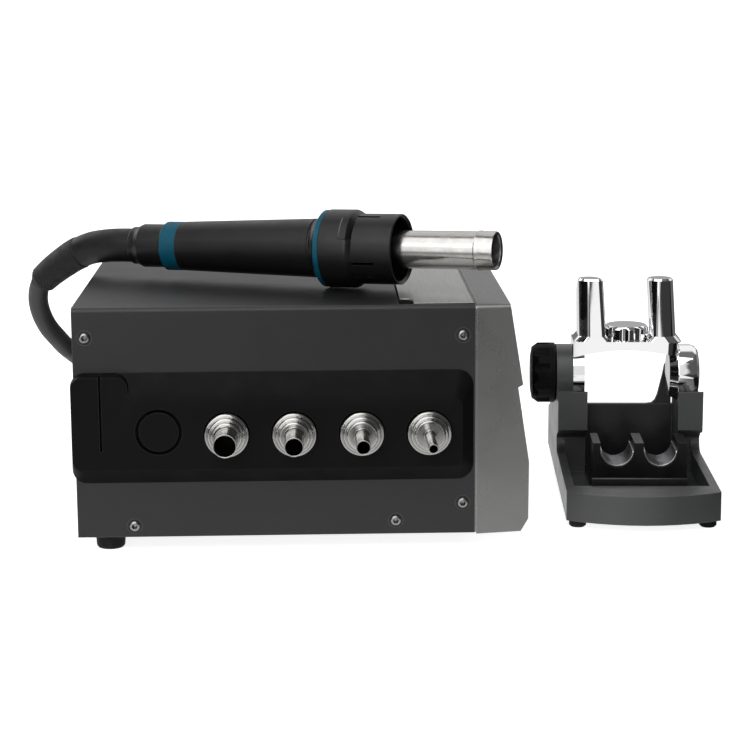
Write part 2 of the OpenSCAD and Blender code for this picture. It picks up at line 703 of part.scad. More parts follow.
// The motor stands under the rotor and carries it on its axle
module blower_motor() color([0.55, 0.55, 0.57]) part()
    translate([fan_x, fan_y, floor_top + fan_wall]) {
        cylinder(r = motor_r, h = 14);
        cylinder(r = axle_r, h = 26);
    }

module air_duct() color([0.12, 0.12, 0.12]) part() {
    y0 = fan_y + 44;
    translate([gland_x, y0, gland_z]) rotate([-90, 0, 0]) difference() {
        union() {
            cylinder(r = outlet_r + 2, h = 6);
            cylinder(r = outlet_r, h = in_y - y0 - 0.2);
        }
        translate([0, 0, -1]) cylinder(r = 8, h = in_y - y0 + 2);
        translate([0, 0, in_y - y0 - 4]) cylinder(r = 9.4, h = 10);
    }
}

// The handle: a taper with a fine groove near its flared front
module handle_body() color([0.07, 0.07, 0.07]) part() on_handle() difference() {
    groove = flare_l + 1.6;
    rotate_extrude($fn = 96) polygon([[0, -flare_l - handle_l], [handle_rear_r, -flare_l - handle_l],
        [handle_front_r, -groove], [handle_front_r - 0.6, -groove + 0.1],
        [handle_front_r - 0.6, -groove + 0.9], [handle_front_r, -groove + 1], [handle_front_r, -flare_l],
        [handle_front_r + 0.6, -3.6], [handle_front_r + 1.8, -2.3], [handle_front_r + 3.6, -1.3],
        [handle_front_r + 4.4, -0.9], [spigot_r, -0.9], [spigot_r, 4], [0, 4]]);
    translate([0, 0, -flare_l - handle_l + 4]) cylinder(r = core_r - spigot_gap, h = handle_l + 20);
}

module handle_rear_cap() color([0.07, 0.07, 0.07]) part() on_handle() difference() {
    s = -flare_l - handle_l - band_l;
    end = s - cap_l + 0.4;
    rotate_extrude($fn = 96) polygon([[0, end], [neck_r - 0.4, end], [neck_r, end + 0.5],
        [neck_r, end + 3.4], [cap_r - 0.6, end + 6], [cap_r, end + 7.2], [cap_r, s - 1.4],
        [handle_rear_r - 0.4, s], [0, s]]);
    translate([0, 0, s - cap_l - 1]) cylinder(r = 6, h = cap_l + 2);
}

module rear_band() color([0, 0.45, 0.55]) part() on_handle(-flare_l - handle_l - band_l)
    difference() {
        cylinder(r = handle_rear_r, h = band_l, $fn = 96);
        translate([0, 0, -1]) cylinder(r = 6, h = band_l + 2);
    }

module front_ring() color([0, 0.45, 0.55]) part() on_handle() rotate_extrude($fn = 96)
    polygon([[spigot_r + spigot_gap, -0.9], [guard_r - 0.9, -0.9], [guard_r - 0.3, -0.3],
        [guard_r - 0.3, ring_s], [spigot_r + spigot_gap, ring_s]]);

// The guard: two open rings with a step between them, a raised pad and cooling slots
module guard_collar() color([0.08, 0.08, 0.08]) part() on_handle() difference() {
    wall = 2;
    step = 19;
    mouth = 1.5;
    slot_at = (guard_l + step)/2 - 4;
    union() {
        rotate_extrude($fn = 96) polygon([[spigot_r + 0.3, ring_s], [guard_r - 0.5, ring_s],
            [guard_r, ring_s + 0.5], [guard_r, step - 1], [guard_r - 0.6, step + 0.4],
            [guard_front_r, step + 3], [guard_front_r, guard_l - 0.6], [guard_front_r - 0.6, guard_l],
            [guard_front_r - wall, guard_l], [guard_front_r - wall, seat_s], [spigot_r + 0.3, seat_s]]);
        rotate(213) rotate_extrude(angle = 36, $fn = 96) polygon([[guard_front_r - 1, step - 4.6],
            [guard_r + 0.1, step - 4.6], [guard_r + 0.9, step - 3.4], [guard_r + 0.9, step + 0.4],
            [guard_r, step + 1.6], [guard_front_r - 1, step + 3.6]]);
    }
    translate([0, 0, guard_l - mouth])
        cylinder(r1 = guard_front_r - wall, r2 = guard_front_r - 0.6, h = mouth + 0.01, $fn = 96);
    for (a = [18:90:288]) rotate(a) translate([guard_front_r - 6, 0, slot_at])
        rotate([0, 90, 0]) linear_extrude(12) polygon(round_box(14, 1.9, 0.9, 3));
    for (a = [134, 314], s = [-4.2, 4.2]) rotate(a) translate([guard_front_r - 6, 0, slot_at + s])
        rotate([0, 90, 0]) linear_extrude(12) polygon(round_box(5.4, 1.5, 0.7, 3));
}

// The steel tube: a flange in the guard, a straight run, a bead and the nozzles' seat
module heater_tube() color([0.75, 0.75, 0.76]) part() on_handle() {
    end = guard_l + tube_l;
    inner = tube_r - tube_wall;
    run_r = tube_r - 0.15;
    bead = end - nozzle_seat_l;
    rotate_extrude($fn = 96) polygon([[core_r + 0.2, seat_s], [guard_front_r - 2.6, seat_s],
        [guard_front_r - 2.6, seat_s + 1.4], [run_r, seat_s + 1.4], [run_r, bead - 2.6],
        [tube_r + 0.3, bead - 2], [tube_r + 0.3, bead - 0.6], [tube_r, bead], [tube_r, end - 0.8],
        [tube_r - 0.3, end], [inner, end], [inner, tube_s], [core_r + 0.2, tube_s]]);
}

// A pale insulating sleeve inside the tube, a little short of its end
module tube_liner() color([0.8, 0.74, 0.62]) part() on_handle() rotate_extrude($fn = 96)
    polygon([[core_r + 0.1, tube_s + 0.1], [tube_r - tube_wall - 0.05, tube_s + 0.1],
        [tube_r - tube_wall - 0.05, guard_l + tube_l - 1.4], [core_r + 0.1, guard_l + tube_l - 1.4]]);

// The heater core: a ceramic former with fins that centre it in the tube
module heater_core() color([0.8, 0.76, 0.68]) part() on_handle(4) {
    l = guard_l + tube_l - core_in;
    difference() {
        union() {
            cylinder(r = 5, h = l);
            for (a = [0:60:300]) rotate(a) translate([0, -0.9, 0]) cube([core_r, 1.8, l]);
        }
        translate([0, 0, -1]) cylinder(r = 2, h = l + 2);
    }
}

module hose_boot() color([0.09, 0.09, 0.09]) part() {
    route = concat([on_axis(rear_s), on_axis(rear_s - boot_straight)], boot_route);
    last = len(route) - 1;
    sweep(route, [for (i = [0:last]) boot_r + (boot_end_r - boot_r)*pow(i/last, 2)], 12,
        [0, 0, 1], joint_way);
}

module hose_gland() color([0.07, 0.07, 0.07]) part() translate([gland_x, side_y, gland_z])
    rotate([-90, 0, 0]) difference() {
        union() {
            translate([0, 0, 0]) cylinder(r = gland_r, h = 4);
            rotate_extrude() polygon([[0, 0], [10.4, 0], [10, 5], [8.2, gland_l], [0, gland_l]]);
            translate([0, 0, -4]) cylinder(r = 9.3, h = 5);
        }
        translate([0, 0, -5]) cylinder(r = 4.5, h = gland_l + 4.5);
    }

module hose_lead() color([0.12, 0.12, 0.12]) part()
    sweep(lead_route, [for (p = lead_route) hose_r], 12, [0, 0, 1]);

module hose_coil() color([0.12, 0.12, 0.12]) part() translate([coil_x, coil_y, 0])
    rotate_extrude($fn = 48) translate([coil_r - hose_r, 0]) square([hose_d, coil_h]);

module hose_rise() color([0.12, 0.12, 0.12]) part()
    sweep(rise_route, [for (p = rise_route) hose_r], 12, [0, 0, 1], -joint_way);

// The stand base's plan: a bowed front, square sides and rounded rear corners
function stand_plan(in, front) = concat(
    front ? arc([mid_w, bow_r - bow], bow_r, -90 - bow_half, -90 + bow_half, 10) : [],
    arc([stand_w - 8, stand_d - 8], 8 - in, 0, 90, 4), arc([8, stand_d - 8], 8 - in, 90, 180, 4));

module cheek_solid(x0, x1, outline) {
    translate([x0, 0, 0]) rotate([90, 0, 90]) linear_extrude(x1 - x0) polygon(outline);
}

module stand_base() color([0.22, 0.22, 0.22]) part() on_stand() difference() {
    union() {
        translate([0, 0, stand_foot_h]) linear_extrude(stand_rim_h)
            polygon(stand_plan(0, true));
        for (x = [0, stand_w - stand_wall])
            cheek_solid(x, x + stand_wall, cheek_side);
        for (x = cheek_x)
            cheek_solid(x, x + cheek_w, block_side);
        intersection() {
            cheek_solid(0, stand_w, deck_side);
            linear_extrude(200) polygon(stand_plan(0, true));
        }
        on_pivot(-1) cylinder(r = boss_r + 0.3, h = ear_w);
        translate([0, wall_back - 0.5, 0]) rotate([90, 0, 0]) linear_extrude(3) polygon(horn_front);
    }
    translate([stand_wall, rim_front, tray_z])
        cube([stand_w - 2*stand_wall, pivot_y - rim_front, 22]);
    translate([cheek_x[0] + cheek_w, rim_front, tray_z])
        cube([cheek_x[1] - cheek_x[0] - cheek_w, wall_back - 4 - rim_front, 60]);
    on_pivot(yoke_x0 - run_gap) cylinder(r = saddle_r, h = stand_w);
    on_pivot(-5) cylinder(r = stud_r + shaft_gap, h = 30);
    translate([stand_wall, wall_back, stand_foot_h - 1])
        cube([stand_w - 2*stand_wall, stand_d - wall_back - stand_wall - 3, deck_end_z - stand_foot_h - 5]);
    for (p = stand_foot_at) translate([p[0], p[1], stand_foot_h - 1]) cylinder(r = 1.6, h = 3);
}

module stand_feet() color([0.04, 0.04, 0.04]) part() on_stand()
    for (p = stand_foot_at) translate([p[0], p[1], 0]) {
        rotate_extrude() polygon([[0, 0], [4, 0], [5, 1], [5, stand_foot_h], [0, stand_foot_h]]);
        cylinder(r = 1.5, h = stand_foot_h + 1.8);
    }

// The rest: a black box in the tray with two troughs between its posts
module nozzle_rest() color([0.05, 0.05, 0.05]) part() on_stand() difference() {
    union() {
        translate([0, 0, tray_z]) linear_extrude(4) polygon([[rest_lip[0], rest_y0],
            [rest_lip[1], rest_y0], [rest_x[1], rest_y1 + 1], [rest_x[0], rest_y1 + 1]]);
        translate([rest_lip[0], rest_y0, tray_z]) cube([rest_lip[1] - rest_lip[0], 3, 17]);
        translate([rest_x[0], rest_y1, tray_z])
            cube([rest_x[1] - rest_x[0], rest_y2 - rest_y1, rest_top - tray_z]);
    }
    for (x = trough_x) translate([x, rest_y1 - 1, trough_z]) {
        rotate([-90, 0, 0]) cylinder(r = trough_r, h = rest_y2 - rest_y1 + 2);
        translate([-trough_r, 0, 0]) cube([2*trough_r, rest_y2 - rest_y1 + 2, 20]);
    }
}

module rest_saddles() color([0.8, 0.8, 0.8]) part() on_stand()
    for (x = trough_x) translate([x, rest_y1 + 0.5, trough_z]) rotate([-90, 0, 0]) difference() {
        cylinder(r = trough_r - 0.05, h = rest_y2 - rest_y1 - 1);
        translate([0, 0, -1]) cylinder(r = trough_r - 1.2, h = rest_y2 - rest_y1 + 2);
        translate([-20, -40, -1]) cube([40, 40, rest_y2 - rest_y1 + 2]);
    }

// One prong of the fork: its foot and its top in x, the radii of its front corners and a back
// that slopes down to the rear
module prong(foot, top, front_r) {
    rear_r = 5;
    y0 = pivot_y - fork_d/2;
    y1 = pivot_y + fork_d/2;
    hull() for (side = [0, 1], way = [1 - 2*side]) {
        translate([foot[side] + way*front_r[side], y0 + front_r[side], bridge_top - 1])
            cylinder(r = front_r[side], h = 1, $fn = 48);
        translate([foot[side] + way*rear_r, y1 - rear_r, bridge_top - 1])
            cylinder(r = rear_r, h = 1, $fn = 32);
        translate([top[side] + way*front_r[side], y0 + front_r[side] + 1.6, pivot_z + prong_h - 1.2])
            cylinder(r1 = front_r[side], r2 = front_r[side] - 1, h = 1.2, $fn = 48);
        translate([top[side] + way*rear_r, y1 - rear_r - 3, pivot_z + prong_h - 8])
            cylinder(r1 = rear_r, r2 = rear_r - 2, h = 2, $fn = 32);
    }
    hull() for (side = [0, 1], way = [1 - 2*side], level = [0, 1]) {
        spread = 3.2*(1 - level);
        z = bridge_top - 1 + 3.6*level;
        translate([foot[side] + way*(front_r[side] - spread), y0 + front_r[side], z])
            cylinder(r = front_r[side], h = 0.6, $fn = 48);
        translate([foot[side] + way*(rear_r - spread), y1 - rear_r, z])
            cylinder(r = rear_r, h = 0.6, $fn = 32);
    }
}

// The cradle: round ends on the tilt axis, an arched bridge and two prongs
module cradle_yoke() color([0.85, 0.85, 0.86]) part() on_stand() difference() {
    y0 = pivot_y - fork_d/2;
    union() {
        on_pivot(yoke_x0) cylinder(r = boss_r, h = 7);
        on_pivot(yoke_x1) rotate_extrude($fn = 96) polygon([[0, -18.5], [boss_r - 3.4, -18.5],
            [boss_r - 0.4, -13.6], [boss_r, -12.9], [boss_r, -4.6], [boss_r - 1, -2.1],
            [boss_r - 3.2, -0.6], [boss_r - 6.5, 0], [0, 0]]);
        intersection() {
            translate([0, y0 + fork_d, 0]) rotate([90, 0, 0]) linear_extrude(fork_d) polygon(concat(
                [[bridge_x1, bridge_top], [yoke_x0, bridge_top]], [for (i = [0:12])
                    [yoke_x0 + (bridge_x1 - yoke_x0)*i/12, bridge_z + bridge_rise*sin(15*i)]]));
            translate([bridge_x1 - 50, pivot_y, 0]) linear_extrude(200)
                polygon(round_box(100, fork_d, 7, 8));
        }
        prong([fork_x - 29.8, fork_x - 12.7], [fork_x - 30.6, fork_x - 15.3], [7, 3]);
        prong([fork_x + 15.3, fork_x + 30], [fork_x + 15.7, fork_x + 27.7], [3, 8]);
    }
    on_pivot(yoke_x0 - 1) cylinder(r = stud_r + shaft_gap, h = 7.5);
    translate([fork_x, pivot_y, bridge_top]) cylinder(r = cap_d/2 + 0.8, h = cap_h + 2);
    translate([fork_x - 12, y0 - 5, bridge_top]) cube([24, fork_d + 10, 60]);
}

// The cap between the prongs, with ten shallow flutes
module cradle_cap() color([0.85, 0.85, 0.86]) part() on_stand()
    translate([fork_x, pivot_y, bridge_top]) difference() {
        rotate_extrude($fn = 96) polygon([[0, 0], [cap_d/2 - 0.6, 0], [cap_d/2, 0.8],
            [cap_d/2, cap_h - 1.8], [cap_d/2 - 1.6, cap_h], [0, cap_h]]);
        for (i = [0:9]) rotate(36*i + 8) translate([cap_d/2 + 3.9, 0, -1])
            cylinder(r = 5, h = cap_h + 3, $fn = 32);
    }

module clamp_knob() color([0.06, 0.06, 0.06]) part() on_stand() difference() {
    on_pivot(-1 - run_gap) rotate([180, 0, 0]) rotate_extrude($fn = 96)
        polygon([[0, 0], [knob_r - 1, 0], [knob_r, 1], [knob_r, 11], [knob_r - 2.6, 14.6],
            [knob_r - 7, 15.4], [0, 15.4]]);
    for (i = [0:9]) on_pivot(-20) rotate(36*i) translate([knob_r + 2.6, 0, -1])
        cylinder(r = 4.4, h = 16, $fn = 32);
    on_pivot(-8) cylinder(r = stud_r, h = 20);
}

module clamp_stud() color([0.7, 0.7, 0.7]) part() on_stand()
    on_pivot(-8) cylinder(r = stud_r - 0.01, h = 8 + yoke_x0 + 5.5);

chassis_base();
top_cover();
rear_panel();
front_bezel();
front_panel();
display_window();
display_module();
control_board();
color([0.5, 0.5, 0.5]) button(button_y[0]);  // temp_up_button
color([0.5, 0.5, 0.5]) button(button_y[1]);  // temp_down_button
color([0.5, 0.5, 0.5]) button(button_y[2]);  // air_up_button
color([0.5, 0.5, 0.5]) button(button_y[3]);  // air_down_button
color([0.5, 0.5, 0.5]) button(button_y[4]);  // preset_1_button
color([0.5, 0.5, 0.5]) button(button_y[5]);  // preset_2_button
color([0.5, 0.5, 0.5]) button(button_y[6]);  // preset_3_button
switch_frame();
power_rocker();
nozzle_rack();
color([0.75, 0.75, 0.76]) nozzle(0);  // nozzle_1
color([0.75, 0.75, 0.76]) nozzle(1);  // nozzle_2
color([0.75, 0.75, 0.76]) nozzle(2);  // nozzle_3
color([0.75, 0.75, 0.76]) nozzle(3);  // nozzle_4
cover_screws();
case_feet();
foot_screws();
plate_carrier();
top_plate();
mains_inlet();
fuse_holder();
power_board();
heat_sink();
main_board();
blower_housing();
blower_impeller();
blower_motor();
air_duct();
handle_body();
handle_rear_cap();
rear_band();
front_ring();
guard_collar();
heater_tube();
tube_liner();
heater_core();
hose_boot();
hose_gland();
hose_lead();
hose_coil();
hose_rise();
stand_base();
stand_feet();
nozzle_rest();
rest_saddles();
cradle_yoke();
cradle_cap();
clamp_knob();
clamp_stud();
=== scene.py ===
# Looks for the hot air rework station: camera, hose, finishes and light.
import json
import math

import bmesh
import bpy
from mathutils import Matrix, Vector


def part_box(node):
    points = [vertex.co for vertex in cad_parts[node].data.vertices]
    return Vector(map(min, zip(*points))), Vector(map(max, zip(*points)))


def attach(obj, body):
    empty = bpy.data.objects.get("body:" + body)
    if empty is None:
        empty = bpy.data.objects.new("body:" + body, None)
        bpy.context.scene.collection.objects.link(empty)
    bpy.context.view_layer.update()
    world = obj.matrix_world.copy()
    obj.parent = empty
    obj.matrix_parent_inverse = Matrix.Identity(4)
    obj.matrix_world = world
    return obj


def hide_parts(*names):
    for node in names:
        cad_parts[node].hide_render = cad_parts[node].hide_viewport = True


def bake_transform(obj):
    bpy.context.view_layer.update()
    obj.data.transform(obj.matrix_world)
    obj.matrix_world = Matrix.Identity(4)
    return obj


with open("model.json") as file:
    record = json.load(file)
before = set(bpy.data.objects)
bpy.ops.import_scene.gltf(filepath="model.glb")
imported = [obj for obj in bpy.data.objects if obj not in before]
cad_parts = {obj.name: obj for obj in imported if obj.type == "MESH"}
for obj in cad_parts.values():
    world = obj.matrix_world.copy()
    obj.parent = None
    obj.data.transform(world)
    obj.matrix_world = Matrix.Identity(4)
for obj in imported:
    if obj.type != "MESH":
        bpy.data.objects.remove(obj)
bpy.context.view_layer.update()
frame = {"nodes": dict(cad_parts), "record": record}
nodes = frame["nodes"]

MM = 0.001

# The case's own frame: middle of its length and width, on the table, in millimetres
CASE_LENGTH = 250
cover_low, cover_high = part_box("top_cover")
case_origin = Vector((cover_low.x + CASE_LENGTH/2*MM, (cover_low.y + cover_high.y)/2, 0))


def at(x, y, z):
    """A point given in the case's frame, in millimetres, as a place in the row frame."""
    return case_origin + Vector((x, y, z))*MM


# Camera: the photograph's place and turn
PHOTO_WIDTH = 750
FOCAL_PIXELS = 2089.3
SENSOR = 36
EYE = (5.891, -1216.098, 320.206)
LOOK = Vector((0.0296975, 0.9806759, -0.1933721))
UP = Vector((0.0112048, 0.1931187, 0.9811114))

camera_data = bpy.data.cameras.new("photo_camera")
camera_data.sensor_width = SENSOR
camera_data.lens = FOCAL_PIXELS*SENSOR/PHOTO_WIDTH
camera_data.clip_start = 0.01
camera = bpy.data.objects.new("photo_camera", camera_data)
bpy.context.scene.collection.objects.link(camera)
turn = Matrix((LOOK.cross(UP), UP, -LOOK)).transposed().to_4x4()
camera.matrix_world = Matrix.Translation(at(*EYE)) @ turn
bpy.context.scene.camera = camera


# Sweeps

def smooth_path(points, step):
    """Points about a step apart on a smooth curve through the given ones."""
    p = [Vector(q) for q in points]
    p = [2*p[0] - p[1]] + p + [2*p[-1] - p[-2]]
    out = []
    for i in range(1, len(p) - 2):
        count = max(2, round((p[i + 1] - p[i]).length/step))
        for k in range(count):
            t = k/count
            out.append(0.5*(2*p[i] + (p[i + 1] - p[i - 1])*t
                            + (2*p[i - 1] - 5*p[i] + 4*p[i + 1] - p[i + 2])*t*t
                            + (3*p[i] - p[i - 1] - 3*p[i + 1] + p[i + 2])*t**3))
    return out + [p[-2]]


def path_length(path):
    return sum((b - a).length for a, b in zip(path, path[1:]))


def tube(name, path, radius, sides=32):
    """A closed tube along a path. radius is a function of the share of its length.
    Its UV map runs round the tube and along it, both in metres."""
    total = path_length(path)
    tangents = [(path[min(i + 1, len(path) - 1)] - path[max(i - 1, 0)]).normalized()
                for i in range(len(path))]
    normal = Vector((0, 0, 1))
    along = 0
    mesh = bmesh.new()
    uv = mesh.loops.layers.uv.new("along")
    rings = []
    lengths = []
    for i, (point, tangent) in enumerate(zip(path, tangents)):
        if i:
            along += (point - path[i - 1]).length
        normal = (normal - normal.dot(tangent)*tangent).normalized()
        side = tangent.cross(normal)
        r = radius(along/total)
        rings.append([mesh.verts.new(point + r*(math.cos(a)*normal + math.sin(a)*side))
                      for a in (2*math.pi*k/sides for k in range(sides))])
        lengths.append(along)
    girth = 2*math.pi*radius(0.5)
    for i in range(len(rings) - 1):
        for k in range(sides):
            j = (k + 1) % sides
            face = mesh.faces.new((rings[i][k], rings[i][j], rings[i + 1][j], rings[i + 1][k]))
            face.smooth = True
            places = ((k, i), (k + 1, i), (k + 1, i + 1), (k, i + 1))
            for loop, (u, v) in zip(face.loops, places):
                loop[uv].uv = (girth*u/sides, lengths[v])
    mesh.faces.new(list(reversed(rings[0])))
    mesh.faces.new(rings[-1])
    bmesh.ops.recalc_face_normals(mesh, faces=mesh.faces)
    data = bpy.data.meshes.new(name)
    mesh.to_mesh(data)
    mesh.free()
    piece = bpy.data.objects.new(name, data)
    bpy.context.scene.collection.objects.link(piece)
    return piece


# Hose: the route of the part's source, in millimetres

HOSE_D = 12
HOSE_STEP = 2
LEAD_ROUTE = [(-15, 110, 30), (-15, 113, 30), (-15, 121, 29.6), (-15, 132, 28), (-15, 143, 24),
              (-15, 153, 18.5), (-15, 162, 12.5), (-15, 171, 7.8)]
RISE_ROUTE = [(-135, 170, 37), (-135, 157, 41), (-135.5, 144, 48), (-136, 131, 56),
              (-137, 118, 63.5), (-139, 105.5, 70), (-141.5, 95, 75), (-145, 86.5, 80),
              (-149.5, 79, 86), (-153.5, 73, 92.5), (-157.5, 67, 99.5), (-160.5, 62, 107.5),
              (-162, 57.5, 116.5), (-161.3, 54, 124.5), (-159, 51, 131)]
COIL = {"x": -75, "y": 181, "r": 60, "z": 6.2, "turns": 2.5}
POINTS_PER_TURN = 24
# Shares of a turn in which the hose climbs to the next layer, and up from the last one
CLIMB_SHARE = 0.25
LAST_CLIMB = 0.17


def ease(t):
    t = min(1, max(0, t))
    return t*t*(3 - 2*t)


def coil_height(turns):
    """Each turn lies flat and climbs to the next layer in its last quarter."""
    whole = min(int(turns), int(COIL["turns"]))
    climb = HOSE_D*ease((turns - whole - 1 + CLIMB_SHARE)/CLIMB_SHARE)
    last = HOSE_D/2*ease((turns - COIL["turns"] + LAST_CLIMB)/LAST_CLIMB)
    return COIL["z"] + HOSE_D*whole + climb + last


coil_route = []
for k in range(int(COIL["turns"]*POINTS_PER_TURN) + 1):
    angle = 2*math.pi*k/POINTS_PER_TURN
    coil_route.append((COIL["x"] + COIL["r"]*math.cos(angle),
                       COIL["y"] + COIL["r"]*math.sin(angle),
                       coil_height(k/POINTS_PER_TURN)))

hose_path = smooth_path([at(*p) for p in LEAD_ROUTE + coil_route + RISE_ROUTE],
                        HOSE_STEP*MM)
hose = tube("hose", hose_path, lambda share: HOSE_D/2*MM)
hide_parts("hose_lead", "hose_coil", "hose_rise")
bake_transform(hose)

# Boot: a smooth sleeve at the handle and a braided one over it, down to the hose

HANDLE_END = (-98.98, 21.71, 156.42)
BOOT_ROUTE = [HANDLE_END, (-107.63, 25.38, 156.14), (-116.6, 29.6, 155.3), (-126.5, 34.6, 153.2),
              (-136, 39.2, 148.9), (-144.5, 43.3, 143.2), (-152, 47, 137.4), (-159, 51, 131)]
BOOT_STEP = 0.6
BOOT_SIDES = 48
BOOT_R = 10.4
BOOT_END_R = 8.4
# The braid stands this far out, from one share of the boot's length to another
SLEEVE_STEP = 0.45
BRAID_FROM = 0.51
BRAID_RISE = 0.02
# The mouth's rounding and the share of the length where it starts and that it takes
MOUTH = 1.2
MOUTH_FROM = 0.965
MOUTH_SHARE = 0.035


def boot_radius(share):
    """The boot narrows to its end, steps up at the braid and has a rounded mouth."""
    r = BOOT_R + (BOOT_END_R - BOOT_R)*share**2
    braid = SLEEVE_STEP*ease((share - BRAID_FROM)/BRAID_RISE)
    mouth = MOUTH*ease((share - MOUTH_FROM)/MOUTH_SHARE)
    return (r - SLEEVE_STEP + braid - mouth)*MM


boot_path = smooth_path([at(*p) for p in BOOT_ROUTE], BOOT_STEP*MM)
boot = tube("boot", boot_path, boot_radius, sides=BOOT_SIDES)
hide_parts("hose_boot")
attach(boot, "handpiece")


# Finishes

def to_linear(colour):
    """0 to 255 screen values as a linear colour with alpha."""
    values = [c/255 for c in colour]
    return [v/12.92 if v <= 0.04045 else ((v + 0.055)/1.055)**2.4 for v in values] + [1]


class Graph:
    """Short calls for building a node tree."""

    def __init__(self, tree):
        self.tree = tree

    def add(self, kind, **values):
        made = self.tree.nodes.new(kind)
        for key, value in values.items():
            setattr(made, key, value)
        return made

    def link(self, source, target):
        self.tree.links.new(source, target)

    def feed(self, target, value):
        """Sets a socket to a number, or joins it to another socket."""
        if isinstance(value, bpy.types.NodeSocket):
            self.link(value, target)
        else:
            target.default_value = value

    def math(self, operation, a, b):
        made = self.add("ShaderNodeMath", operation=operation)
        self.feed(made.inputs[0], a)
        self.feed(made.inputs[1], b)
        return made.outputs["Value"]

    def ranged(self, value, start, end, low, high, kind="LINEAR"):
        """Maps a value between start and end to one between low and high."""
        made = self.add("ShaderNodeMapRange", interpolation_type=kind)
        for name, number in (("Value", value), ("From Min", start), ("From Max", end),
                             ("To Min", low), ("To Max", high)):
            self.feed(made.inputs[name], number)
        return made.outputs["Result"]

    def step(self, value, start, end):
        """A smooth step from 0 at start to 1 at end."""
        return self.ranged(value, start, end, 0, 1, "SMOOTHSTEP")

    def fade(self, factor, level):
        """1 where factor is 0, and level where it is 1."""
        return self.ranged(factor, 0, 1, 1, level)

    def both(self, a, b):
        return self.math("MULTIPLY", a, b)

    def split(self, vector):
        made = self.add("ShaderNodeSeparateXYZ")
        self.link(vector, made.inputs["Vector"])
        return made.outputs["X"], made.outputs["Y"], made.outputs["Z"]


class Finish(Graph):
    """A material on the principled shader, with short calls for its procedural detail."""

    SAMPLES = 4
    # The part of a noise's range that is used
    MIDDLE = (0.3, 0.7)
    # How far the rounded normal leans from the flat one at a rubbed edge with a painted highlight,
    # and beside it
    LEAN = (0.8, 0.99)
    # How open a recess with painted shade is, and how open the surface round it
    OPEN = (0.5, 0.9)

    def __init__(self, name, colour, roughness, metallic=0.0, specular=0.5):
        self.material = bpy.data.materials.new(name)
        self.material.use_nodes = True
        super().__init__(self.material.node_tree)
        self.shader = self.tree.nodes["Principled BSDF"]
        self.colour = to_linear(colour)
        self.shader.inputs["Base Color"].default_value = self.colour
        self.shader.inputs["Roughness"].default_value = roughness
        self.shader.inputs["Metallic"].default_value = metallic
        self.shader.inputs["Specular IOR Level"].default_value = specular
        self.roughness = roughness
        self.normal = None

    def coordinates(self, source="Object", stretch=(1, 1, 1), turn=(0, 0, 0)):
        place = self.add("ShaderNodeTexCoord")
        mapping = self.add("ShaderNodeMapping")
        mapping.inputs["Scale"].default_value = stretch
        mapping.inputs["Rotation"].default_value = turn
        self.link(place.outputs[source], mapping.inputs["Vector"])
        return mapping.outputs["Vector"]

    def noise(self, size, detail=2.0, stretch=(1, 1, 1), turn=(0, 0, 0)):
        """Noise whose grains are about size millimetres across."""
        texture = self.add("ShaderNodeTexNoise")
        texture.inputs["Scale"].default_value = 1/(size*MM)
        texture.inputs["Detail"].default_value = detail
        self.link(self.coordinates(stretch=stretch, turn=turn), texture.inputs["Vector"])
        return texture.outputs["Fac"]

    def spread(self, value, low, high, middle=MIDDLE):
        """Spreads the middle of a value's range between low and high."""
        return self.ranged(value, *middle, low, high)

    def mix_in(self, factor, colour):
        """Lays a colour over the base colour where factor is 1."""
        mix = self.add("ShaderNodeMix", data_type="RGBA")
        target = self.shader.inputs["Base Color"]
        if target.is_linked:
            self.link(target.links[0].from_socket, mix.inputs["A"])
        else:
            mix.inputs["A"].default_value = target.default_value
        mix.inputs["B"].default_value = colour
        self.link(factor, mix.inputs["Factor"])
        self.link(mix.outputs["Result"], target)
        return self

    def mottle(self, size, share, **options):
        """Varies the base colour by a share, lighter and darker."""
        light = [min(1, c*(1 + share)) for c in self.colour[:3]] + [1]
        dark = [c*(1 - share) for c in self.colour[:3]] + [1]
        self.shader.inputs["Base Color"].default_value = dark
        return self.mix_in(self.spread(self.noise(size, **options), 0, 1), light)

    def smudge(self, size, share, **options):
        """Varies the roughness by a share of it."""
        value = self.spread(self.noise(size, 4.0, **options), self.roughness*(1 - share),
                            min(1, self.roughness*(1 + share)))
        self.link(value, self.shader.inputs["Roughness"])
        return self

    def bump(self, height, depth):
        """Adds relief of depth millimetres from a height between 0 and 1."""
        made = self.add("ShaderNodeBump")
        made.inputs["Distance"].default_value = depth*MM
        made.inputs["Strength"].default_value = 1
        self.link(height, made.inputs["Height"])
        if self.normal:
            self.link(self.normal, made.inputs["Normal"])
        self.normal = made.outputs["Normal"]
        self.link(self.normal, self.shader.inputs["Normal"])
        return self

    def grain(self, size, depth, **options):
        return self.bump(self.noise(size, **options), depth)

    def edges(self, radius, colour, amount=0.6):
        """Blends the edges towards a colour, by an amount from 0 to 1. The lighter colours used
        stand partly for rubbed wear, partly for a painted highlight.
        """
        bevel = self.add("ShaderNodeBevel", samples=self.SAMPLES)
        bevel.inputs["Radius"].default_value = radius*MM
        geometry = self.add("ShaderNodeNewGeometry")
        dot = self.add("ShaderNodeVectorMath", operation="DOT_PRODUCT")
        self.link(bevel.outputs["Normal"], dot.inputs[0])
        self.link(geometry.outputs["Normal"], dot.inputs[1])
        rubbed_and_lit = self.spread(dot.outputs["Value"], amount, 0, self.LEAN)
        return self.mix_in(rubbed_and_lit, to_linear(colour))

    def paint_shade_in_hollows(self, reach, colour):
        """Paints shade into recesses narrower than reach millimetres, darkening them towards a
        colour.
        """
        shade = self.add("ShaderNodeAmbientOcclusion", samples=self.SAMPLES, only_local=True)
        shade.inputs["Distance"].default_value = reach*MM
        return self.mix_in(self.spread(shade.outputs["AO"], 1, 0, self.OPEN), to_linear(colour))


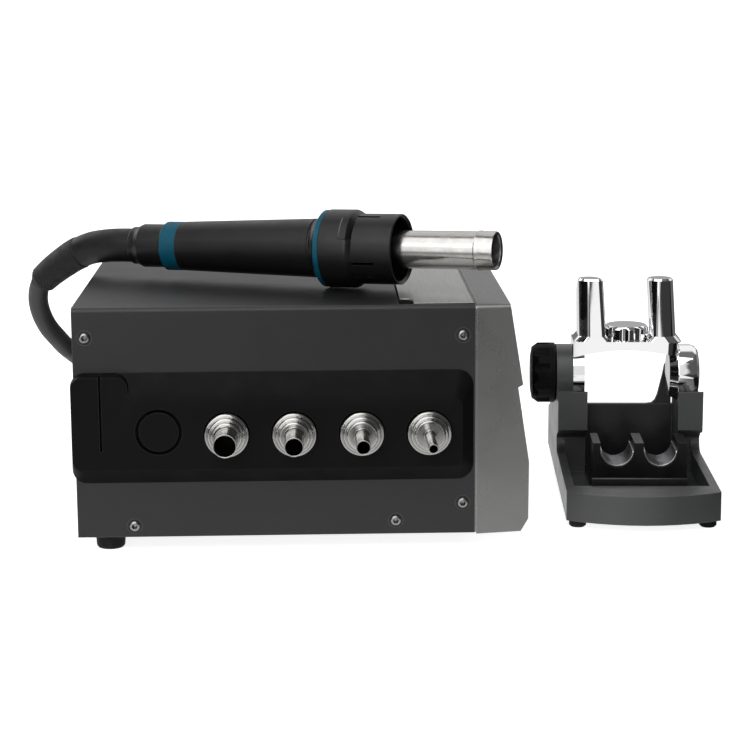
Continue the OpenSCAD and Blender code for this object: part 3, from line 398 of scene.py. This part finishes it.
def cover_paint():
    """Fine-textured powder coat, its edges lightened: partly rubbed wear, partly a painted
    highlight.
    """
    f = Finish("cover_paint", (22, 22, 22), 0.42)
    f.mottle(30, 0.06, detail=3.0).smudge(18, 0.07)
    f.grain(0.9, 0.05, detail=3.0).grain(0.35, 0.02)
    return f.edges(0.8, (110, 110, 108), 0.5)


def bezel_plastic():
    f = Finish("bezel_plastic", (122, 122, 121), 0.28, metallic=0.9)
    f.mottle(40, 0.05).smudge(15, 0.12).grain(0.5, 0.025, detail=3.0)
    # Edges lightened: partly rubbed wear, partly a painted highlight.
    return f.edges(0.8, (190, 190, 188), 0.6)


def panel_gloss():
    f = Finish("panel_gloss", (12, 12, 13), 0.16)
    return f.mottle(20, 0.2).smudge(9, 0.35)


def window_smoke():
    f = Finish("window_smoke", (9, 10, 12), 0.08)
    return f.mottle(30, 0.2).smudge(14, 0.4)


def board_green():
    f = Finish("board_green", (18, 62, 40), 0.35)
    return f.mottle(3, 0.35, detail=4.0).smudge(5, 0.2).grain(1.2, 0.05)


def button_grey():
    f = Finish("button_grey", (110, 110, 112), 0.5, specular=0.35)
    return f.mottle(6, 0.06).smudge(3, 0.15).grain(0.25, 0.02)


def black_plastic():
    f = Finish("black_plastic", (15, 15, 15), 0.36, specular=0.35)
    f.mottle(14, 0.1).smudge(9, 0.15).grain(0.3, 0.018, detail=3.0)
    # Edges lightened: partly rubbed wear, partly a painted highlight.
    return f.edges(0.5, (66, 66, 66), 0.5)


def rack_plastic():
    f = Finish("rack_plastic", (14, 14, 14), 0.5, specular=0.08)
    f.mottle(25, 0.12).smudge(12, 0.18).grain(0.45, 0.03, detail=3.0)
    # Edges lightened: partly rubbed wear, partly a painted highlight.
    return f.edges(0.8, (60, 60, 60), 0.55)


def turned_steel(name, colour, roughness):
    """Bright steel, slightly uneven and faintly smudged."""
    f = Finish(name, colour, roughness, metallic=1.0)
    f.mottle(5, 0.06).smudge(6, 0.3)
    return f


def nozzle_steel():
    """Turned rings, with painted highlights on their edges and painted shade in their grooves."""
    f = turned_steel("nozzle_steel", (184, 183, 180), 0.14)
    f.grain(0.35, 0.012, stretch=(0.05, 1, 0.05))
    return f.paint_shade_in_hollows(3.0, (20, 20, 20)).edges(0.4, (250, 250, 248), 0.5)


def screw_steel():
    f = Finish("screw_steel", (150, 150, 149), 0.3, metallic=1.0)
    f.mottle(2, 0.1).smudge(1.5, 0.2).grain(0.4, 0.02)
    # Painted shade darkens the socket and the dimple round the head.
    return f.paint_shade_in_hollows(1.2, (14, 14, 14))


def foot_rubber():
    f = Finish("foot_rubber", (16, 16, 16), 0.75, specular=0.3)
    return f.mottle(5, 0.2).smudge(4, 0.1).grain(0.5, 0.05, detail=3.0)


def plate_brushed():
    """Aluminium brushed along its own length, across the case, its edges lightened: partly rubbed
    wear, partly a painted highlight.
    """
    f = Finish("plate_brushed", (172, 172, 171), 0.38, metallic=0.75)
    f.mottle(0.5, 0.1, stretch=(1, 0.012, 1)).smudge(0.4, 0.25, stretch=(1, 0.012, 1))
    return f.grain(0.35, 0.02, stretch=(1, 0.015, 1)).edges(0.5, (235, 235, 233), 0.6)


def inner_metal():
    f = Finish("inner_metal", (185, 185, 188), 0.35, metallic=1.0)
    return f.mottle(8, 0.08).smudge(4, 0.25).grain(0.6, 0.03, stretch=(1, 0.1, 1))


def teal_plastic():
    f = Finish("teal_plastic", (0, 76, 96), 0.45, specular=0.2)
    return f.mottle(6, 0.12).smudge(4, 0.15).grain(0.3, 0.02)


HANDLE_TURN = math.radians(23)


def tube_steel():
    """Tube drawn along its length, with patches of a faint heat tint."""
    f = turned_steel("tube_steel", (182, 181, 179), 0.22)
    f.grain(0.5, 0.02, stretch=(0.04, 1, 1), turn=(0, 0, HANDLE_TURN))
    tint = f.spread(f.noise(22, 3.0), 0, 0.35)
    return f.mix_in(tint, to_linear((186, 180, 170)))


def shadow_black():
    f = Finish("shadow_black", (8, 8, 8), 0.85, specular=0.1)
    return f.mottle(6, 0.2).smudge(4, 0.08).grain(0.5, 0.02)


def ceramic():
    f = Finish("ceramic", (214, 205, 184), 0.7)
    return f.mottle(4, 0.06).smudge(3, 0.1).grain(0.4, 0.04)


def hose_silicone():
    f = Finish("hose_silicone", (66, 66, 68), 0.45, specular=0.35)
    f.mottle(18, 0.12).smudge(8, 0.2)
    return f.grain(2.5, 0.06, detail=3.0).grain(0.4, 0.02)


BRAID_WAVES = 330
BRAID_BEND = 0.3
BRAID_ANGLE = math.radians(38)


def braid():
    """The boot's finish: plain near the handle, a fine woven sleeve further down."""
    f = Finish("boot_sleeve", (19, 19, 19), 0.45, specular=0.3)
    f.mottle(8, 0.15).smudge(5, 0.2)
    waves = []
    for side in (-1, 1):
        wave = f.add("ShaderNodeTexWave", wave_type="BANDS", bands_direction="X")
        wave.inputs["Scale"].default_value = BRAID_WAVES
        wave.inputs["Distortion"].default_value = BRAID_BEND
        f.link(f.coordinates("UV", turn=(0, 0, side*BRAID_ANGLE)), wave.inputs["Vector"])
        waves.append(wave.outputs["Fac"])
    along = f.split(f.coordinates("UV"))[1]
    start = BRAID_FROM*path_length(boot_path)
    woven = f.step(along, start, start + 1*MM)
    return f.bump(f.both(f.both(waves[0], waves[1]), woven), 0.35).grain(0.5, 0.02)


# The stand's front left corner in the row frame, its turn and its dark pocket, in millimetres:
# the pocket's two sides, its front, and how far each of them blends
STAND_AT = (88.46, -61.07)
STAND_TURN = math.radians(3.4)
POCKET = (17.7, 73.8)
POCKET_BLEND = 0.5
POCKET_FRONT = 18
POCKET_FRONT_BLEND = 2


def stand_paint():
    """Satin grey coat over a casting, slightly uneven, and near black in its pocket. Its edges are
    lightened: partly rubbed wear, partly a painted highlight.
    """
    f = Finish("stand_paint", (63, 64, 65), 0.36, specular=0.6)
    f.mottle(20, 0.08, detail=3.0).smudge(12, 0.15)
    f.grain(6, 0.06).grain(0.8, 0.04, detail=3.0)
    x, y, _ = f.split(f.coordinates())
    dx = f.math("SUBTRACT", x, STAND_AT[0]*MM)
    dy = f.math("SUBTRACT", y, STAND_AT[1]*MM)
    across = f.math("SUBTRACT", f.both(dx, math.cos(STAND_TURN)),
                    f.both(dy, math.sin(STAND_TURN)))
    pocket = f.both(f.step(across, POCKET[0]*MM, (POCKET[0] + POCKET_BLEND)*MM),
                    f.step(across, POCKET[1]*MM, (POCKET[1] - POCKET_BLEND)*MM))
    pocket = f.both(pocket, f.step(dy, POCKET_FRONT*MM, (POCKET_FRONT + POCKET_FRONT_BLEND)*MM))
    f.mix_in(pocket, to_linear((20, 20, 20)))
    return f.edges(1.0, (110, 110, 110), 0.55)


def chrome():
    f = Finish("chrome", (243, 243, 244), 0.045, metallic=1.0)
    return f.smudge(10, 0.4).grain(16, 0.008)


FINISHES = {make.__name__: make().material for make in (
    cover_paint, bezel_plastic, panel_gloss, window_smoke, board_green, button_grey, black_plastic,
    rack_plastic, nozzle_steel, screw_steel, foot_rubber, plate_brushed, inner_metal, teal_plastic,
    tube_steel, shadow_black, ceramic, hose_silicone, stand_paint, chrome)}

# How wide each node's edges are broken, in millimetres, where it isn't the usual. Those at 0
# stay sharp. A wide break is rounded in more steps.
USUAL_BREAK = 0.25
WIDE_BREAK = 1
BREAK_STEPS = 3
WIDE_BREAK_STEPS = 5
BREAKS = {"top_cover": 0.0, "front_bezel": 0.4, "nozzle_rack": 0.9, "stand_base": 0.9,
          "cradle_yoke": 2.0, "cradle_cap": 0.5, "clamp_knob": 0.7, "nozzle_rest": 0.5,
          "handle_body": 0.0, "heater_tube": 0.0, "tube_liner": 0.0, "front_ring": 0.0,
          "rear_band": 0.0}
SHARP_ANGLE = math.radians(32)
WELD = 0.01


def break_edges(piece, width):
    """Rounds a node's sharp edges a little, within its own outline, or parts their shading."""
    weld = piece.modifiers.new("weld", "WELD")
    weld.merge_threshold = WELD*MM
    if width > 0:
        bevel = piece.modifiers.new("break", "BEVEL")
        bevel.width = width*MM
        bevel.segments = BREAK_STEPS if width < WIDE_BREAK else WIDE_BREAK_STEPS
        bevel.limit_method = "ANGLE"
        bevel.angle_limit = SHARP_ANGLE
        bevel.harden_normals = True
        bevel.use_clamp_overlap = True
    else:
        split = piece.modifiers.new("split", "EDGE_SPLIT")
        split.split_angle = SHARP_ANGLE
        split.use_edge_sharp = False
    for polygon in piece.data.polygons:
        polygon.use_smooth = True
    weighted = piece.modifiers.new("weighted", "WEIGHTED_NORMAL")
    weighted.keep_sharp = True


slots = {entry["node"]: entry["material_slot"] for entry in frame["record"]["subparts"]}
# Nodes whose finish isn't their slot's
slots.update(clamp_knob="rack_plastic", rest_saddles="inner_metal", tube_liner="inner_metal")
for name, piece in nodes.items():
    piece.data.materials.clear()
    piece.data.materials.append(FINISHES[slots[name]])
    break_edges(piece, BREAKS.get(name, USUAL_BREAK))

hose.data.materials.append(FINISHES["hose_silicone"])
boot.data.materials.append(braid().material)


# Studio: a pale floor, a plain room, and soft lamps above, before and behind the part. Lamps
# stand in the case's frame, in millimetres, with sizes in metres and powers in watts.

KEY = {"place": (-350, -750, 1300), "size": 1.5, "power": 13}
FRONT = {"place": (-500, -1400, 500), "size": 1.2, "power": 6}
RIM = {"place": (-1000, 800, 600), "size": 0.8, "power": 3}
AIM = (40, 0, 70)


def lamp(name, place, size, power):
    data = bpy.data.lights.new(name, "AREA")
    data.shape = "SQUARE"
    data.size = size
    data.energy = power
    made = bpy.data.objects.new(name, data)
    bpy.context.scene.collection.objects.link(made)
    away = at(*place) - at(*AIM)
    made.location = at(*place)
    made.rotation_mode = "QUATERNION"
    made.rotation_quaternion = away.to_track_quat("Z", "Y")


lamp("key_lamp", **KEY)
lamp("front_lamp", **FRONT)
lamp("rim_lamp", **RIM)

# The room's levels, and the borders that they blend across, as parts of a direction's length
AMBIENT = 0.336
ROOM_DARK = 0.096
CEILING = 0.16
CEILING_FROM = (0.6, 0.9)
SKY_BEHIND = (0.1, 1.0)
SKY_FROM = (0.1, 0.4)
SKY_RISE = (0, 0.5)
SOFT_BOX = 0.8
BOX_FROM = (-0.3, -0.6)
BOX_LEFT = (-0.87, -0.74)
BOX_RIGHT = (0.13, 0.05)


def room():
    """White for the camera. Metal sees a bright box on the camera's side, a sky behind the part
    that brightens upwards, a dim ceiling and dark sides. The rest of the light is even."""
    world = bpy.data.worlds.new("room")
    world.use_nodes = True
    bpy.context.scene.world = world
    world.node_tree.nodes.clear()
    g = Graph(world.node_tree)
    x, y, z = g.split(g.add("ShaderNodeTexCoord").outputs["Generated"])
    rays = g.add("ShaderNodeLightPath").outputs
    behind = g.both(g.step(y, *SKY_FROM), g.ranged(z, *SKY_RISE, *SKY_BEHIND))
    ceiling = g.both(g.step(z, *CEILING_FROM), CEILING)
    wide = g.both(g.step(x, *BOX_LEFT), g.step(x, *BOX_RIGHT))
    box = g.both(g.step(y, *BOX_FROM), wide)
    bright = g.math("MAXIMUM", behind, g.both(box, SOFT_BOX))
    reflected = g.math("MAXIMUM", g.math("MAXIMUM", bright, ceiling), ROOM_DARK)
    seen = g.math("MAXIMUM", rays["Is Camera Ray"], rays["Is Transmission Ray"])
    metal = g.both(rays["Is Glossy Ray"], g.math("SUBTRACT", reflected, AMBIENT))
    level = g.math("ADD", g.both(seen, 1 - AMBIENT), g.math("ADD", metal, AMBIENT))
    background = g.add("ShaderNodeBackground")
    background.inputs["Color"].default_value = (1, 1, 1, 1)
    g.link(level, background.inputs["Strength"])
    output = g.add("ShaderNodeOutputWorld")
    g.link(background.outputs["Background"], output.inputs["Surface"])


room()

# The floor's levels, and the borders that they blend across, in metres in the row frame
FLOOR_SIZE = 40
FLOOR_COLOUR = (0.86, 0.86, 0.86, 1)
FLOOR_GLOW = 0.85
GLOW_FROM = (0.4, 1.2)
FLOOR_AHEAD = (0.35, 0.05)
AHEAD_FROM = (-0.2, -0.55)
AHEAD_RIGHT = (0.11, 0.1)
AHEAD_ACROSS = (-0.15, 0)
FLOOR_RIGHT = 0.04
RIGHT_FROM = (0.21, 0.25)
RIGHT_BACK = (0.22, 0.16)
BEFORE_STAND = 0.15
STAND_FROM = (0.09, 0.2)
STAND_FRONT = (-0.28, -0.22)
FLOOR_BACK = 0.75
BACK_FROM = (0.4, 0.6)


def floor():
    """Pale, with a faint shadow under the part, and white at a distance. Metal sees it white, but
    darker far ahead of the case, before the stand's right half, right of the stand and behind."""
    mesh = bmesh.new()
    bmesh.ops.create_grid(mesh, x_segments=1, y_segments=1, size=FLOOR_SIZE/2)
    data = bpy.data.meshes.new("floor")
    mesh.to_mesh(data)
    mesh.free()
    made = bpy.data.objects.new("floor", data)
    bpy.context.scene.collection.objects.link(made)
    material = bpy.data.materials.new("pale_floor")
    material.use_nodes = True
    g = Graph(material.node_tree)
    shader = g.tree.nodes["Principled BSDF"]
    shader.inputs["Base Color"].default_value = FLOOR_COLOUR
    shader.inputs["Roughness"].default_value = 0.8
    shader.inputs["Specular IOR Level"].default_value = 0.1
    shader.inputs["Emission Color"].default_value = (1, 1, 1, 1)
    rays = g.add("ShaderNodeLightPath").outputs
    seen = g.math("MAXIMUM", rays["Is Camera Ray"], rays["Is Transmission Ray"])
    place = g.add("ShaderNodeTexCoord").outputs["Object"]
    x, y, _ = g.split(place)
    distance = g.add("ShaderNodeVectorMath", operation="LENGTH")
    g.link(place, distance.inputs[0])
    own_light = g.ranged(distance.outputs["Value"], *GLOW_FROM, FLOOR_GLOW, 1)
    g.link(g.both(seen, own_light), shader.inputs["Emission Strength"])
    ahead = g.fade(g.both(g.step(y, *AHEAD_FROM), g.step(x, *AHEAD_RIGHT)),
                   g.ranged(x, *AHEAD_ACROSS, *FLOOR_AHEAD))
    right = g.fade(g.both(g.step(x, *RIGHT_FROM), g.step(y, *RIGHT_BACK)), FLOOR_RIGHT)
    before = g.fade(g.both(g.step(x, *STAND_FROM), g.step(y, *STAND_FRONT)), BEFORE_STAND)
    back = g.ranged(y, *BACK_FROM, 1, FLOOR_BACK)
    glow = g.add("ShaderNodeEmission")
    g.link(g.both(g.both(ahead, g.both(right, before)), back), glow.inputs["Strength"])
    choose = g.add("ShaderNodeMixShader")
    g.link(rays["Is Glossy Ray"], choose.inputs["Fac"])
    g.link(shader.outputs["BSDF"], choose.inputs[1])
    g.link(glow.outputs["Emission"], choose.inputs[2])
    g.link(choose.outputs["Shader"], g.tree.nodes["Material Output"].inputs["Surface"])
    data.materials.append(material)


floor()

bpy.context.scene.view_settings.view_transform = "Standard"
